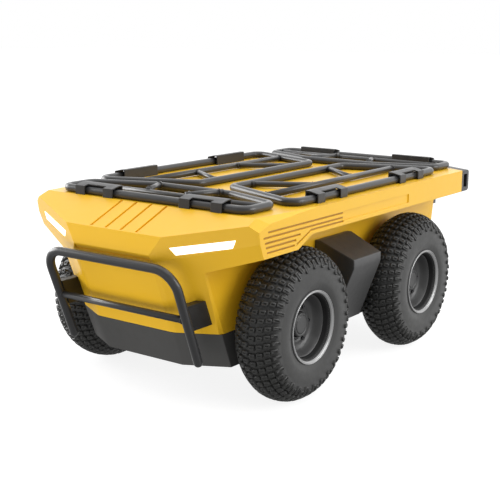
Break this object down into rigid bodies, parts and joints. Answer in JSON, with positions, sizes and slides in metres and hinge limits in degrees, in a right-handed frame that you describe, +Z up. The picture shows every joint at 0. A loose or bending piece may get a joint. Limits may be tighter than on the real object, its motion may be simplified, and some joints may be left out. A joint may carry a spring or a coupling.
{
  "type": "four wheel robot chassis",
  "caption": "Skid-steer outdoor robot chassis: sheet-metal hull, air-tyre drive wheels on fixed axles, front bumper loop and tubular roof racks.",
  "frame": {"origin": "on the ground, midway between the axles and on the plane of symmetry", "axes": "+X forward, +Y to the vehicle's left, +Z up"},
  "size_m": [1.1819, 0.684, 0.48],
  "materials": {
    "yellow_paint": "satin",
    "belly_paint": "satin",
    "housing_paint": "satin",
    "black_tube": "satin",
    "clamp_plate": "satin",
    "bumper_plastic": "matte",
    "lamp_lens": "glossy",
    "circuit_board": "satin",
    "frame_alloy": "satin",
    "electronics_alloy": "satin",
    "battery_case": "matte",
    "strap_steel": "satin",
    "tyre_rubber": "matte",
    "rim_paint": "satin",
    "hub_steel": "satin",
    "cap_plastic": "satin",
    "bolt_steel": "satin",
    "axle_steel": "satin"
  },
  "bodies": {
    "chassis": {"deck_cover": "yellow_paint", "front_fascia": "yellow_paint", "rear_panel": "yellow_paint", "side_wall_left": "yellow_paint", "side_wall_right": "yellow_paint", "side_panel_left": "yellow_paint", "side_panel_right": "yellow_paint", "belly_pan": "belly_paint", "headlight_left": "lamp_lens", "headlight_right": "lamp_lens", "headlight_board_left": "circuit_board", "headlight_board_right": "circuit_board", "bumper_loop": "black_tube", "bumper_bracket_left": "black_tube", "bumper_bracket_right": "black_tube", "rack_left": "black_tube", "rack_right": "black_tube", "rack_front": "black_tube", "rack_rear": "black_tube", "clamps_left": "clamp_plate", "clamps_right": "clamp_plate", "clamps_front": "clamp_plate", "clamps_rear": "clamp_plate", "rear_profile": "bumper_plastic", "rear_strip": "bumper_plastic", "centre_housing_left": "housing_paint", "centre_housing_right": "housing_paint", "ladder_frame": "frame_alloy", "equipment_tray": "frame_alloy", "battery_pack": "battery_case", "battery_straps": "strap_steel", "control_box": "electronics_alloy", "motor_controllers": "electronics_alloy", "axle_front_left": "axle_steel", "axle_front_right": "axle_steel", "axle_rear_left": "axle_steel", "axle_rear_right": "axle_steel"},
    "wheel_front_left": {"tyre_front_left": "tyre_rubber", "rim_front_left": "rim_paint", "hub_front_left": "hub_steel", "hub_cap_front_left": "cap_plastic", "wheel_bolts_front_left": "bolt_steel"},
    "wheel_front_right": {"tyre_front_right": "tyre_rubber", "rim_front_right": "rim_paint", "hub_front_right": "hub_steel", "hub_cap_front_right": "cap_plastic", "wheel_bolts_front_right": "bolt_steel"},
    "wheel_rear_left": {"tyre_rear_left": "tyre_rubber", "rim_rear_left": "rim_paint", "hub_rear_left": "hub_steel", "hub_cap_rear_left": "cap_plastic", "wheel_bolts_rear_left": "bolt_steel"},
    "wheel_rear_right": {"tyre_rear_right": "tyre_rubber", "rim_rear_right": "rim_paint", "hub_rear_right": "hub_steel", "hub_cap_rear_right": "cap_plastic", "wheel_bolts_rear_right": "bolt_steel"}
  },
  "joints": [
    {"name": "wheel_spin_front_left", "type": "hinge", "parent": "chassis", "child": "wheel_front_left", "pos_m": [0.268, 0.283, 0.18], "axis": [0, 1, 0], "continuous": true},
    {"name": "wheel_spin_front_right", "type": "hinge", "parent": "chassis", "child": "wheel_front_right", "pos_m": [0.268, -0.283, 0.18], "axis": [0, 1, 0], "continuous": true},
    {"name": "wheel_spin_rear_left", "type": "hinge", "parent": "chassis", "child": "wheel_rear_left", "pos_m": [-0.268, 0.283, 0.18], "axis": [0, 1, 0], "continuous": true},
    {"name": "wheel_spin_rear_right", "type": "hinge", "parent": "chassis", "child": "wheel_rear_right", "pos_m": [-0.268, -0.283, 0.18], "axis": [0, 1, 0], "continuous": true}
  ]
}
